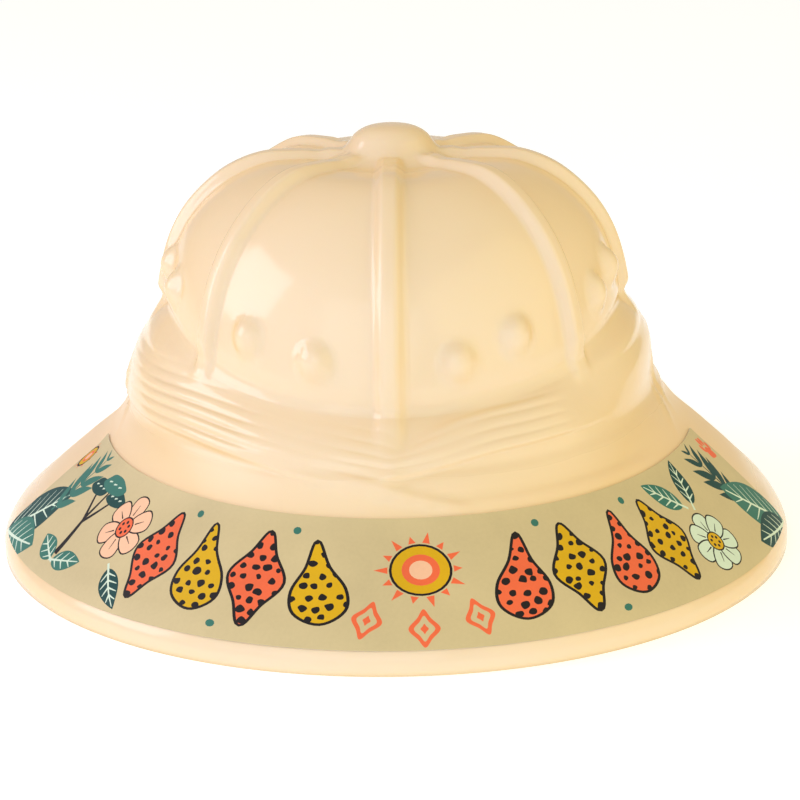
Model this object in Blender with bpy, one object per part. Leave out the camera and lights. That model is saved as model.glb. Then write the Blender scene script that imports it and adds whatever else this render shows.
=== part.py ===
"""A safari hat formed from one sheet of plastic, with a printed card on the front of its brim.

Metres, +Z up. The hat stands on its lip at z = 0 with its front towards -Y, and the middle of its
oval is on the Z axis. A turn is an angle round that axis from the front, positive towards +X.
"""

import math
from collections import namedtuple

import bmesh
import bpy
from mathutils import Vector

# Widths run from side to side along X, lengths from front to back along Y.
BRIM_WIDTH = 0.240
BRIM_LENGTH = 0.2764
ROOT_WIDTH = 0.1652
ROOT_LENGTH = 0.2016
CROWN_WIDTH = 0.1390
CROWN_LENGTH = 0.1715

# How far the crown's oval nears a circle at its top.
CROWN_ROUNDING = 0.45

# Heights of the parts of the hat, from the floor up.
BRIM_RISE = 0.0440
BAND_RISE = 0.0272
CROWN_RISE = 0.0461
BUTTON_RISE = 0.0095

WALL = 0.0006
LIP_HEIGHT = 0.0035

# The band's top edge dips at the front and back, and its foot is higher on the +X side.
FRONT_DIP = 0.0126
BACK_DIP = 0.0060
ROOT_TILT = 0.0020

# The band is pleated cloth in plastic. Its +X wrap crosses over the other one at the front.
PLEATS = 5
PLEAT_DEPTH = 0.0013
WRAP_MARGIN = 0.0022
WRAP_LIFT = 0.0058
WRAP_STEP = 0.0010
WRAP_PEAK_TURN = 38.0

RIBS = 8
RIB_HEIGHT = 0.0032
RIB_HEIGHT_AT_TOP = 0.0022
RIB_HALF_WIDTH = 0.0048
BUTTON_RADIUS = 0.0130

VENT_RADIUS = 0.0048
VENT_HEIGHT = 0.0028

CARD_THICKNESS = 0.0003
CARD_CLEARANCE = 0.0003
CARD_HALF_TURN = 80.0
CARD_TOP_HEIGHT = 0.0352
CARD_FOOT_HEIGHT = 0.0068

SHELL_COLOUR = (0.91, 0.73, 0.48, 1.0)
CARD_COLOUR = (0.65, 0.55, 0.31, 1.0)

Section = namedtuple("Section", "spread rise")
Vent = namedtuple("Vent", "turn rise")

# Spread is a share of the button's radius, and rise of the button's height.
BUTTON = (
    Section(spread=0.50, rise=0.95),
    Section(spread=0.85, rise=0.70),
    Section(spread=1.02, rise=0.40),
    Section(spread=1.22, rise=0.00),
)

# Spread is a share of the crown's radius at its foot, and rise of its height above the band.
CROWN = (
    Section(spread=0.380, rise=1.000),
    Section(spread=0.540, rise=0.982),
    Section(spread=0.680, rise=0.895),
    Section(spread=0.790, rise=0.770),
    Section(spread=0.870, rise=0.633),
    Section(spread=0.928, rise=0.472),
    Section(spread=0.962, rise=0.310),
    Section(spread=0.984, rise=0.146),
    Section(spread=1.000, rise=0.000),
)

# Spread is a share of the way from the crown's foot out to the brim's root, rise of the band's height.
BAND = (
    Section(spread=0.00, rise=1.00),
    Section(spread=0.26, rise=0.90),
    Section(spread=0.42, rise=0.78),
    Section(spread=0.65, rise=0.58),
    Section(spread=0.78, rise=0.36),
    Section(spread=0.85, rise=0.14),
    Section(spread=1.00, rise=0.00),
)

# Spread is a share of the way from the brim's root out to its lip, rise of the root's height above the lip.
BRIM = (
    Section(spread=0.000, rise=1.000),
    Section(spread=0.140, rise=0.805),
    Section(spread=0.457, rise=0.540),
    Section(spread=0.718, rise=0.323),
    Section(spread=0.950, rise=0.100),
    Section(spread=1.000, rise=0.000),
)

# The vents of one quarter of the crown, as degrees from its end and a share of the crown's height.
VENTS = (
    Vent(turn=15.0, rise=0.257),
    Vent(turn=28.6, rise=0.336),
    Vent(turn=63.5, rise=0.290),
    Vent(turn=76.5, rise=0.355),
)

QUARTER = math.pi / 2
RIB_PITCH = 2 * math.pi / RIBS
CROWN_TOP = BRIM_RISE + BAND_RISE + CROWN_RISE
MEAN_RADIUS = math.sqrt(CROWN_WIDTH * CROWN_LENGTH) / 2


def smooth_step(low, high, value):
    """0 below low, 1 above high, and a smooth rise between them."""
    share = min(max((value - low) / (high - low), 0.0), 1.0)
    return share * share * (3 - 2 * share)


def oval(turn, width, length):
    """The radius of an oval of this width and length at a turn."""
    return 0.5 / math.hypot(math.sin(turn) / width, math.cos(turn) / length)


def fold(turn):
    """A turn brought into the first quarter, because the front, back and sides mirror each other."""
    turn = abs(math.remainder(turn, 2 * math.pi))
    return min(turn, math.pi - turn)


def spread_at(sections, rise):
    """The spread of a table's outline at this rise, read along straight lines."""
    for above, below in zip(sections, sections[1:]):
        if rise >= below.rise:
            share = (above.rise - rise) / (above.rise - below.rise)
            return above.spread + (below.spread - above.spread) * share
    return sections[-1].spread


def band_top(turn):
    """The height of the band's top edge."""
    dip = FRONT_DIP if math.cos(turn) > 0 else BACK_DIP
    return BRIM_RISE + BAND_RISE - dip * math.cos(turn) ** 2


def root_height(turn):
    """The height at which the band meets the brim."""
    return BRIM_RISE + ROOT_TILT * math.sin(turn)


def wrap_edge(turn):
    """The height of the lower edge of the pleats, which lifts off the root where the +X wrap crosses."""
    degrees = math.degrees(math.remainder(turn, 2 * math.pi))
    lift = smooth_step(0, WRAP_PEAK_TURN, degrees) * (1 - smooth_step(WRAP_PEAK_TURN, 90, degrees))
    return root_height(turn) + WRAP_MARGIN + WRAP_LIFT * lift


def crown_radius(turn, spread, rise):
    """The radius of the crown's plain outline, which is rounder the higher it is."""
    foot = oval(turn, CROWN_WIDTH, CROWN_LENGTH)
    return spread * (foot + (CROWN_WIDTH / 2 - foot) * CROWN_ROUNDING * rise ** 2)


def band_radius(turn, height):
    """The plain radius of the band, without its pleats."""
    inner = oval(turn, CROWN_WIDTH, CROWN_LENGTH)
    outer = oval(turn, ROOT_WIDTH, ROOT_LENGTH)
    root = root_height(turn)
    rise = (height - root) / (band_top(turn) - root)
    return inner + (outer - inner) * spread_at(BAND, rise)


def brim_point(turn, section):
    """The radius and height of one of the brim's sections."""
    inner = oval(turn, ROOT_WIDTH, ROOT_LENGTH)
    outer = oval(turn, BRIM_WIDTH, BRIM_LENGTH)
    radius = inner + (outer - inner) * section.spread
    return radius, LIP_HEIGHT + (root_height(turn) - LIP_HEIGHT) * section.rise


def rib_relief(turn, radius):
    """How far the nearest rib stands out of the crown here."""
    off = math.remainder(turn, RIB_PITCH)
    across = radius * math.sin(off) / RIB_HALF_WIDTH
    if abs(across) >= 1:
        return 0.0
    low = smooth_step(BUTTON_RADIUS * 2, BUTTON_RADIUS * 4, radius)
    height = RIB_HEIGHT_AT_TOP + (RIB_HEIGHT - RIB_HEIGHT_AT_TOP) * low
    return height * math.sqrt(math.cos(across * QUARTER))


def vent_rise(turn):
    """The share of the crown's height at which the line of the vents runs."""
    degrees = math.degrees(fold(turn))
    if degrees <= VENTS[0].turn:
        return VENTS[0].rise
    for first, second in zip(VENTS, VENTS[1:]):
        if degrees <= second.turn:
            share = (degrees - first.turn) / (second.turn - first.turn)
            return first.rise + (second.rise - first.rise) * share
    return VENTS[-1].rise


def vent_relief(turn, rise):
    """How far a vent's dome stands out of the crown here."""
    radius = crown_radius(turn, 1.0, rise)
    span = CROWN_TOP - band_top(turn)
    relief = 0.0
    for vent in VENTS:
        across = radius * (fold(turn) - math.radians(vent.turn))
        off = math.hypot(across, span * (rise - vent.rise)) / VENT_RADIUS
        relief = max(relief, VENT_HEIGHT * math.cos(min(off, 1.0) * QUARTER) ** 2)
    return relief


def on_hat(turn, radius, height):
    return Vector((radius * math.sin(turn), -radius * math.cos(turn), height))


def columns(radius):
    """The turns of the mesh's columns where the hat has this radius.

    They keep to both edges of each rib and to the middle and both edges of each vent.
    """
    edge = math.asin(min(RIB_HALF_WIDTH / radius, math.sin(RIB_PITCH / 3)))
    plain_edge = math.asin(RIB_HALF_WIDTH / MEAN_RADIUS)
    vent_edge = VENT_RADIUS / MEAN_RADIUS
    squeeze = (RIB_PITCH - 2 * edge) / (RIB_PITCH - 2 * plain_edge)
    quarter = []
    for rib, pair in ((0.0, VENTS[:2]), (RIB_PITCH, VENTS[2:])):
        quarter += [rib, rib + edge / 2, rib + edge]
        for vent in pair:
            middle = math.radians(vent.turn) - rib - plain_edge
            quarter += [rib + edge + squeeze * (middle + side * vent_edge) for side in (-1, 0, 1)]
        quarter += [rib + RIB_PITCH - edge, rib + RIB_PITCH - edge / 2]
    half_turn = quarter + [math.pi - turn for turn in [QUARTER] + quarter[:0:-1]]
    return half_turn + [math.pi] + [-turn for turn in half_turn[:0:-1]]


def button_rows():
    for section in BUTTON:
        radius = BUTTON_RADIUS * section.spread
        height = CROWN_TOP + BUTTON_RISE * section.rise
        yield [on_hat(turn, radius, height) for turn in columns(radius)]


def crown_point(turn, rise, spread):
    """A point of the crown. Ribs and vents stand out square to its slope, which is upright at its foot."""
    lean = QUARTER * math.sqrt(1 - rise)
    radius = crown_radius(turn, spread, rise)
    relief = rib_relief(turn, radius) + vent_relief(turn, rise)
    top = band_top(turn)
    height = top + (CROWN_TOP - top) * rise
    return on_hat(turn, radius + relief * math.sin(lean), height + relief * math.cos(lean))


def crown_rows(turns):
    """Rows down the crown, of which three follow the line of the vents."""
    for rise, spread in [(section.rise, section.spread) for section in CROWN[:4]]:
        yield [crown_point(turn, rise, spread) for turn in columns(MEAN_RADIUS * spread)]
    for side in (1, 0, -1):
        row = []
        for turn in turns:
            rise = vent_rise(turn) + side * VENT_RADIUS / (CROWN_TOP - band_top(turn))
            row.append(crown_point(turn, rise, spread_at(CROWN, rise)))
        yield row
    low = CROWN[-2].rise / 2
    yield [crown_point(turn, low, spread_at(CROWN, low)) for turn in turns]


def band_rows(turns):
    """Rows down the band: a ridge and a valley for each pleat, then the step under the wrap's edge."""
    tops = [band_top(turn) for turn in turns]
    yield [on_hat(turn, band_radius(turn, top) + foot_rib(turn), top) for turn, top in zip(turns, tops)]
    for row in range(1, 2 * PLEATS + 1):
        proud = WRAP_STEP + (PLEAT_DEPTH if row % 2 else 0.0)
        points = []
        for turn, top in zip(turns, tops):
            height = top + (wrap_edge(turn) - top) * row / (2 * PLEATS)
            points.append(on_hat(turn, band_radius(turn, height) + proud, height))
        yield points
    unders = [wrap_edge(turn) - WRAP_STEP for turn in turns]
    yield [on_hat(turn, band_radius(turn, under), under) for turn, under in zip(turns, unders)]


def foot_rib(turn):
    return rib_relief(turn, crown_radius(turn, 1.0, 0.0))


def brim_rows(turns):
    for section in BRIM:
        yield [on_hat(turn, *brim_point(turn, section)) for turn in turns]
    yield [on_hat(turn, oval(turn, BRIM_WIDTH, BRIM_LENGTH), 0.0) for turn in turns]


def shell_rows():
    """Every row of points of the hat's outer skin, from the button down to the lip."""
    turns = columns(MEAN_RADIUS)
    return [*button_rows(), *crown_rows(turns), *band_rows(turns), *brim_rows(turns)]


def material(name, colour, roughness):
    made = bpy.data.materials.new(name)
    made.use_nodes = True
    shader = made.node_tree.nodes["Principled BSDF"]
    shader.inputs["Base Color"].default_value = colour
    shader.inputs["Roughness"].default_value = roughness
    shader.inputs["Metallic"].default_value = 0.0
    return made


def add_object(name, mesh_maker, colour, roughness):
    mesh = bpy.data.meshes.new(name)
    mesh_maker.normal_update()
    mesh_maker.to_mesh(mesh)
    mesh_maker.free()
    mesh.materials.append(material(name, colour, roughness))
    mesh.shade_smooth()
    made = bpy.data.objects.new(name, mesh)
    bpy.context.scene.collection.objects.link(made)
    return made


def join_rows(made, above, below, closed):
    """Faces between two rows of vertices, each face seen from outside the hat."""
    count = len(above)
    for column in range(count if closed else count - 1):
        after = (column + 1) % count
        made.faces.new((above[column], below[column], below[after], above[after]))


def make_shell():
    """The whole hat: its outer skin, given an even wall inwards. The wall's end is the lip's flat foot."""
    made = bmesh.new()
    pole = made.verts.new((0.0, 0.0, CROWN_TOP + BUTTON_RISE))
    rows = [[made.verts.new(point) for point in row] for row in shell_rows()]
    first = rows[0]
    for column, vertex in enumerate(first):
        made.faces.new((pole, vertex, first[(column + 1) % len(first)]))
    for above, below in zip(rows, rows[1:]):
        join_rows(made, above, below, closed=True)
    shell = add_object("shell", made, SHELL_COLOUR, 0.25)
    wall = shell.modifiers.new("Wall", "SOLIDIFY")
    wall.thickness = WALL
    wall.offset = -1.0
    wall.use_even_offset = False


def brim_radius(turn, height):
    """The radius of the brim's plain outer skin at a height."""
    rise = (height - LIP_HEIGHT) / (root_height(turn) - LIP_HEIGHT)
    return brim_point(turn, Section(spread_at(BRIM, rise), rise))[0]


def card_heights(turn):
    """The card's rows: its two edges, and the brim's own sections between them."""
    brim = [LIP_HEIGHT + (root_height(turn) - LIP_HEIGHT) * section.rise for section in BRIM[1:-1]]
    heights = [CARD_TOP_HEIGHT]
    for height in brim:
        heights.append(min(height, heights[-1] - CARD_THICKNESS))
    return [*heights, min(CARD_FOOT_HEIGHT, heights[-1] - CARD_THICKNESS)]


def card_rows(turns, off):
    """Rows of points that lie off the brim by this much, along the brim's slope."""
    slope = math.atan2(BRIM_WIDTH - ROOT_WIDTH, 2 * (BRIM_RISE - LIP_HEIGHT))
    level = off * math.cos(slope)
    up = off * math.sin(slope)
    rows = []
    for index in range(len(card_heights(0.0))):
        row = []
        for turn in turns:
            height = card_heights(turn)[index]
            row.append(on_hat(turn, brim_radius(turn, height) + level, height + up))
        rows.append(row)
    return rows


def make_card():
    """The printed card: an even strip that follows the brim's slope a little off its plastic."""
    made = bmesh.new()
    limit = math.radians(CARD_HALF_TURN)
    inside = [turn for turn in columns(MEAN_RADIUS) if abs(turn) < limit]
    turns = [-limit, *sorted(inside), limit]
    sheets = []
    for off in (CARD_CLEARANCE, CARD_CLEARANCE + CARD_THICKNESS):
        sheets.append([[made.verts.new(point) for point in row] for row in card_rows(turns, off)])
    back, front = sheets
    for above, below in zip(front, front[1:]):
        join_rows(made, above, below, closed=False)
    for above, below in zip(back, back[1:]):
        join_rows(made, below, above, closed=False)
    join_rows(made, back[0], front[0], closed=False)
    join_rows(made, front[-1], back[-1], closed=False)
    for end in (0, -1):
        join_rows(made, [row[end] for row in back], [row[end] for row in front], closed=False)
    bmesh.ops.recalc_face_normals(made, faces=made.faces)
    add_object("brim_label", made, CARD_COLOUR, 0.5)


def main():
    for old in list(bpy.data.objects):
        bpy.data.objects.remove(old, do_unlink=True)
    make_shell()
    make_card()


main()
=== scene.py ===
"""The looks of a moulded plastic safari hat with a printed card on its brim.

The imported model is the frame: the hat stands at z = 0 with its front towards -Y. Lengths are metres.
A turn is an angle round the Z axis from the front, positive towards +X.
"""

import math
from collections import namedtuple

import bpy
import numpy as np
from mathutils import Matrix, Vector
from mathutils.geometry import delaunay_2d_cdt


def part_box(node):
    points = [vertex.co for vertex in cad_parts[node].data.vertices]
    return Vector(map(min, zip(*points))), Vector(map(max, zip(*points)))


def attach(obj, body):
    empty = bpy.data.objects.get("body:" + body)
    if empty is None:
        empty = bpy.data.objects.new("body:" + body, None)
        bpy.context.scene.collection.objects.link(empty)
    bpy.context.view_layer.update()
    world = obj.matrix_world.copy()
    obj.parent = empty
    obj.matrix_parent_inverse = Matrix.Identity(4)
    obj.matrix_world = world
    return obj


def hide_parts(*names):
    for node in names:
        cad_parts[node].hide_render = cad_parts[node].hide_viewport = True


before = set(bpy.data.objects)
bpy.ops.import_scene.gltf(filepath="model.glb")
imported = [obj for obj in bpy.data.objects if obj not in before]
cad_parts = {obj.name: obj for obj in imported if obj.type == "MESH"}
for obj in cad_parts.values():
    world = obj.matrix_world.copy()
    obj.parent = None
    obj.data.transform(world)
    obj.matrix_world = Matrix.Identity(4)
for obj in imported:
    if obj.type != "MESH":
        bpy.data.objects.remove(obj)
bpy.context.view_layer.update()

# Sizes of the hat, as in the solid model. Widths run along X and lengths along Y.
SHELL_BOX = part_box("shell")
BRIM_WIDTH = SHELL_BOX[1][0] - SHELL_BOX[0][0]
BRIM_LENGTH = SHELL_BOX[1][1] - SHELL_BOX[0][1]
ROOT_WIDTH = 0.1652
ROOT_LENGTH = 0.2016
CROWN_WIDTH = 0.1390
CROWN_LENGTH = 0.1715
CROWN_ROUNDING = 0.45
BRIM_RISE = 0.0440
BAND_RISE = 0.0272
CROWN_RISE = 0.0461
BUTTON_RISE = 0.0095
CROWN_TOP = BRIM_RISE + BAND_RISE + CROWN_RISE
WALL = 0.0006
LIP_HEIGHT = 0.0035
FRONT_DIP = 0.0126
BACK_DIP = 0.0060
ROOT_TILT = 0.0020
RIB_PITCH = math.radians(45)
RIB_HEIGHT = 0.0032
RIB_HEIGHT_AT_TOP = 0.0022
CARD_TOP_HEIGHT = 0.0352
CARD_FOOT_HEIGHT = 0.0068
CARD_DEGREES = 80
CARD_HALF_TURN = math.radians(CARD_DEGREES)
CARD_THICKNESS = 0.0003
CARD_CLEARANCE = 0.0003

# Sizes that follow the photo more closely than the solid model does.
BUTTON_RADIUS = 0.0128
RIB_HALF_WIDTH = 0.0051
VENT_RADIUS = 0.0060
VENT_HEIGHT = 0.0036
VENT_SHARPNESS = 7.0

# A rib is flat over this share of its half width, and bulges by this share of its height.
RIB_FLAT = 0.32
RIB_BULGE = 0.06

# The radii at which the ribs begin and at which they are full height, as shares of the button's.
RIB_START = (1.0, 1.5)
RIB_GROWTH = (2.0, 4.0)

# The heights over the band's top between which the ribs begin. The front one runs on down over the band.
RIB_FADE = (-0.0050, 0.0085)
FRONT_RIB_FADE = (-0.0110, 0.0060)
FRONT_RIB_COSINES = (0.90, 0.98)

# Slow hollows and fillets: how deep they are, where they lie, and how far they reach up and down.
BACK_SINK = 0.0020
BACK_SINK_SPREAD = 0.68
BACK_SINK_REACH = 0.15
BACK_COSINES = (0.2, 0.9)
FOOT_FILL = 0.0015
FOOT_FILL_OVER_BAND = 0.0005
FOOT_FILL_REACH = 0.0035
FOOT_FILL_SINES = (0.45, 0.85)
SIDE_SINK = 0.0022
SIDE_SINK_HEIGHT = 0.0515
SIDE_SINK_REACH = 0.0085
SIDE_SINK_SINES = (0.55, 0.95)
ROOT_BEAD = 0.0009
ROOT_BEAD_HEIGHT = 0.0376
ROOT_BEAD_REACH = 0.0012
ROOT_BEAD_SHARE = ((-180, 0.0), (2, 0.0), (14, 1.0), (48, 1.0), (62, 0.0), (180, 0.0))

# The sheet's slow waviness, as strength, waves round the hat, radians a metre up, and phase.
# It fades out towards the lip and the button.
WAVINESS = 0.00012
WAVES = ((1.0, 3, 40, 0.0), (0.7, 7, -90, 1.0), (0.6, 5, 130, 2.0))
CALM_HEIGHTS = (0.0, 0.010)
CALM_RADII = (0.005, 0.020)

# How finely the outer and inner skins are meshed, and how often the slope under the reliefs is eased.
COLUMNS_A_RIB = 46
COLUMN_CROWDING = 0.3
OUTER_ROWS = {"button": 14, "crown": 60, "band": 76, "brim": 34}
INNER_STEPS = {"button": 2, "crown": 2, "band": 3, "brim": 2}
SLOPE_PASSES = 120

Section = namedtuple("Section", "spread rise")
Vent = namedtuple("Vent", "turn rise")

# Sections from the top down. Rise is a share of the part's height, and spread a share of the radius of the
# button or crown, or of the way out to the next part. The button's table and FRONT_BAND are the scene's own.
BUTTON = (
    Section(0.00, 1.00),
    Section(0.30, 0.985),
    Section(0.60, 0.90),
    Section(0.85, 0.70),
    Section(1.00, 0.44),
    Section(1.15, 0.19),
    Section(1.50, 0.01),
)
CROWN = (
    Section(0.380, 1.000),
    Section(0.540, 0.982),
    Section(0.680, 0.895),
    Section(0.790, 0.770),
    Section(0.870, 0.633),
    Section(0.928, 0.472),
    Section(0.962, 0.310),
    Section(0.984, 0.146),
    Section(1.000, 0.000),
)
BAND = (
    Section(0.00, 1.00),
    Section(0.26, 0.90),
    Section(0.42, 0.78),
    Section(0.65, 0.58),
    Section(0.78, 0.36),
    Section(0.85, 0.14),
    Section(1.00, 0.00),
)

# The band's outline at the middle of the front, where it runs on from the crown.
FRONT_BAND_COSINES = (0.35, 0.85)
FRONT_BAND = (
    Section(0.00, 1.00),
    Section(0.10, 0.92),
    Section(0.29, 0.78),
    Section(0.55, 0.56),
    Section(0.75, 0.34),
    Section(0.86, 0.14),
    Section(1.00, 0.00),
)

# The brim, from its root out to its lip.
BRIM = (
    Section(0.000, 1.000),
    Section(0.140, 0.805),
    Section(0.457, 0.540),
    Section(0.718, 0.323),
    Section(0.950, 0.100),
    Section(1.000, 0.000),
)

# The vents of the front half, as degrees round the hat and a share of the crown's height.
# The back repeats them.
VENTS = (
    Vent(-83.0, 0.335),
    Vent(-69.0, 0.270),
    Vent(-31.8, 0.275),
    Vent(-15.2, 0.238),
    Vent(13.8, 0.232),
    Vent(27.6, 0.300),
    Vent(58.5, 0.300),
    Vent(71.5, 0.370),
)

# The band is two wraps of pleated cloth in plastic. Each line holds degrees round the hat and millimetres up.
LEFT_EDGE = (
    (-180, 46.2), (-120, 46.2), (-90, 46.6), (-60, 47.6), (-40, 47.7), (-28, 46.3), (-22, 45.4),
    (-15, 43.9), (-8, 42.4), (-2, 40.9), (4, 38.4), (9, 36.6), (14, 35.9), (30, 37.0), (60, 44.0),
    (100, 46.2), (180, 46.2),
)
LEFT_TAIL_TOP = ((-180, 43.9), (-2, 43.3), (4, 41.0), (9, 38.7), (13, 36.6), (180, 36.6))
RIGHT_EDGE = (
    (-180, 42.0), (-8, 42.6), (-1, 44.1), (4, 45.3), (9, 46.9), (14, 48.5), (19, 49.6),
    (26, 50.2), (180, 50.4),
)

# How strongly each wrap's layer and its pleats show, the left wrap's tail, and the right wrap's share of
# its full height, by degrees.
LEFT_LAYER = ((-180, 1.0), (-90, 0.9), (2, 1.0), (10, 0.9), (15, 0.0), (70, 0.0), (105, 1.0), (180, 1.0))
LEFT_PLEATS = (
    (-180, 0.8), (-115, 0.8), (-88, 0.15), (-66, 0.15), (-55, 1.0), (-32, 1.0), (-22, 0.12), (-11, 0.12),
    (-5, 0.5), (0, 0.4), (4, 0.0), (80, 0.0), (110, 0.8), (180, 0.8),
)
RIGHT_LAYER = ((-180, 0.0), (-3, 0.0), (1, 1.0), (27, 1.0), (48, 0.0), (180, 0.0))
RIGHT_PLEATS = (
    (-180, 0.0), (-2, 0.0), (1, 0.5), (7, 0.5), (11, 0.3), (20, 0.6), (28, 0.5), (38, 0.0), (180, 0.0),
)
LEFT_TAIL = ((-180, 0.0), (-3, 0.0), (3, 1.0), (20, 1.0), (60, 0.0), (180, 0.0))
RIGHT_SHARE = ((-180, 0.5), (0, 0.5), (16, 1.0), (180, 1.0))

# How far the wraps and their pleats stand out, and how high each pleat is. Up to LOW_SHARE of the lowest
# pleat, the way to a groove is measured by its own height.
LAYER = 0.0010
PLEAT_DEPTH = 0.0007
LOW_PLEAT = 0.0036
LOW_SHARE = 0.75
PLEAT = 0.0027
RIGHT_LAYER_DEPTH = 0.0013
RIGHT_PLEAT_DEPTH = 0.00049
RIGHT_PLEAT = 0.0025
RIGHT_WRAP = 0.0124
PLEAT_ROUNDING = 0.25
GROOVE_HALF_WIDTH = 0.00055

# How softly the wraps begin and end: over the band's top, over the right wrap's top, and at other edges.
BAND_TOP_FADE = (-0.0110, 0.0010)
RIGHT_TOP_FADE = (-0.0040, 0.0020)
STEP_SOFTNESS = 0.0006
EDGE_SOFTNESS = 0.0005

# Small upright folds at the band's sides, as degrees, height, lean in degrees a metre, and rise.
Crease = namedtuple("Crease", "turn height lean rise")
CREASES = (
    Crease(-86, 0.0500, -200, 0.0010),
    Crease(-79, 0.0440, -500, 0.0006),
    Crease(84, 0.0500, 300, 0.0010),
    Crease(76, 0.0440, 700, 0.0007),
)
CREASE_HALF_WIDTH = 0.0016
CREASE_HALF_LENGTH = 0.0060


def smooth_step(low, high, value):
    share = np.clip((value - low) / (high - low), 0.0, 1.0)
    return share * share * (3 - 2 * share)


def oval(turn, width, length):
    """The radius of an oval of this width and length at a turn."""
    return 0.5 / np.hypot(np.sin(turn) / width, np.cos(turn) / length)


def smooth_curve(knots, values, at):
    """A smooth curve through values at the knots, along the first axis of values."""
    knots = np.asarray(knots, float)
    values = np.asarray(values, float)
    slopes = np.gradient(values, knots, axis=0)
    index = np.clip(np.searchsorted(knots, at, side="right") - 1, 0, len(knots) - 2)
    span = knots[index + 1] - knots[index]
    share = (at - knots[index]) / span
    shape = (-1,) + (1,) * (values.ndim - 1)
    share, span = share.reshape(shape), span.reshape(shape)
    square, cube = share ** 2, share ** 3
    return (
        (2 * cube - 3 * square + 1) * values[index]
        + (cube - 2 * square + share) * span * slopes[index]
        + (3 * square - 2 * cube) * values[index + 1]
        + (cube - square) * span * slopes[index + 1]
    )


def in_degrees(turn):
    return np.clip(np.degrees(turn), -180, 180 - 1e-6)


def by_degrees(stops, turn):
    """A smooth value at a turn, read from stops of degrees and values."""
    degrees, values = zip(*stops)
    at = in_degrees(turn)
    index = np.clip(np.searchsorted(degrees, at, side="right") - 1, 0, len(degrees) - 2)
    start, end = np.take(degrees, index), np.take(degrees, index + 1)
    share = smooth_step(0, 1, (at - start) / (end - start))
    return np.take(values, index) * (1 - share) + np.take(values, index + 1) * share


def line_height(stops, turn):
    """The height in metres of a line on the hat at a turn, read from stops of degrees and millimetres."""
    degrees, heights = zip(*stops)
    return smooth_curve(degrees, heights, in_degrees(turn)) / 1000


def band_top(turn):
    """The height of the band's top edge, which dips at the front and back."""
    dip = np.where(np.cos(turn) > 0, FRONT_DIP, BACK_DIP)
    return BRIM_RISE + BAND_RISE - dip * np.cos(turn) ** 2


def root_height(turn):
    """The height of the brim's root, which is higher at the +X side."""
    return BRIM_RISE + ROOT_TILT * np.sin(turn)


def turns_around():
    """The turns of the mesh's columns, closer together at each rib."""
    share = np.arange(COLUMNS_A_RIB) / COLUMNS_A_RIB
    crowded = share - COLUMN_CROWDING * np.sin(2 * math.pi * share) / (2 * math.pi)
    sectors = [RIB_PITCH * (sector + crowded) for sector in range(-4, 4)]
    return np.concatenate(sectors)


def table(sections):
    """Sections as a column of spreads and a column of rises."""
    spread = np.array([section.spread for section in sections])[:, None]
    rise = np.array([section.rise for section in sections])[:, None]
    return spread, rise


def profile_sections(turn):
    """Radius and height of every section of the hat's body, from the button's foot down to the lip."""
    crown_foot = oval(turn, CROWN_WIDTH, CROWN_LENGTH)[None]
    root = oval(turn, ROOT_WIDTH, ROOT_LENGTH)[None]
    rim = oval(turn, BRIM_WIDTH, BRIM_LENGTH)[None]
    top = band_top(turn)[None]
    root_z = root_height(turn)[None]
    even = np.ones_like(crown_foot)

    spread, rise = table(BUTTON[-2:])
    button = (BUTTON_RADIUS * spread * even, CROWN_TOP + BUTTON_RISE * rise * even)
    spread, rise = table(CROWN)
    rounded = crown_foot + (CROWN_WIDTH / 2 - crown_foot) * CROWN_ROUNDING * rise ** 2
    at_back = smooth_step(*BACK_COSINES, -np.cos(turn))[None]
    sunk = BACK_SINK * at_back * np.exp(-((spread - BACK_SINK_SPREAD) / BACK_SINK_REACH) ** 2)
    crown = (rounded * spread, top + (CROWN_TOP - top) * rise - sunk)
    spread, rise = table(BAND[1:])
    front_spread, front_rise = table(FRONT_BAND[1:])
    at_front = smooth_step(*FRONT_BAND_COSINES, np.cos(turn))[None]
    spread = spread + (front_spread - spread) * at_front
    rise = rise + (front_rise - rise) * at_front
    band = (crown_foot + (root - crown_foot) * spread, root_z + (top - root_z) * rise)
    spread, rise = table(BRIM[1:])
    brim = (root + (rim - root) * spread, LIP_HEIGHT + (root_z - LIP_HEIGHT) * rise)
    lip = (np.concatenate([rim, rim]), np.concatenate([rim * 0 + LIP_HEIGHT / 2, rim * 0]))
    parts = (button, crown, band, brim, lip)
    return tuple(np.concatenate([part[axis] for part in parts]) for axis in (0, 1))


def zone_ends():
    """The sections at which the crown, the band and the brim begin, and the last one."""
    band = 1 + len(CROWN)
    brim = band + len(BAND) - 1
    return 0, band, brim, brim + len(BRIM) + 1


def profile(turn, rows):
    """Radius and height of the plain hat, as rows of columns."""
    spread, rise = table(BUTTON)
    knots = np.concatenate([[0.0], np.cumsum(np.hypot(np.diff(spread[:, 0]), np.diff(rise[:, 0])))])
    at = np.linspace(0, knots[-2], rows["button"] + 1)[:-1]
    even = np.ones((1, len(turn)))
    radius = [BUTTON_RADIUS * smooth_curve(knots, spread, at) * even]
    height = [CROWN_TOP + BUTTON_RISE * smooth_curve(knots, rise, at) * even]
    found = profile_sections(turn)
    front = np.abs(turn).argmin()
    steps = np.hypot(np.diff(found[0][:, front]), np.diff(found[1][:, front]))
    knots = np.concatenate([[0.0], np.cumsum(steps)])
    ends = zone_ends()
    zones = zip(("crown", "band", "brim"), ends, ends[1:])
    at = [np.linspace(knots[start], knots[end], rows[name] + 1)[:-1] for name, start, end in zones]
    at = np.concatenate([*at, knots[-1:]])
    radius.append(smooth_curve(knots, found[0], at))
    height.append(smooth_curve(knots, found[1], at))
    return np.concatenate(radius), np.concatenate(height)


def inner_rows():
    """The rows of the outer skin that the inner one keeps."""
    start = 0
    kept = []
    for name, count in OUTER_ROWS.items():
        kept += range(start, start + count, INNER_STEPS[name])
        start += count
    return [*kept, start]


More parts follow.
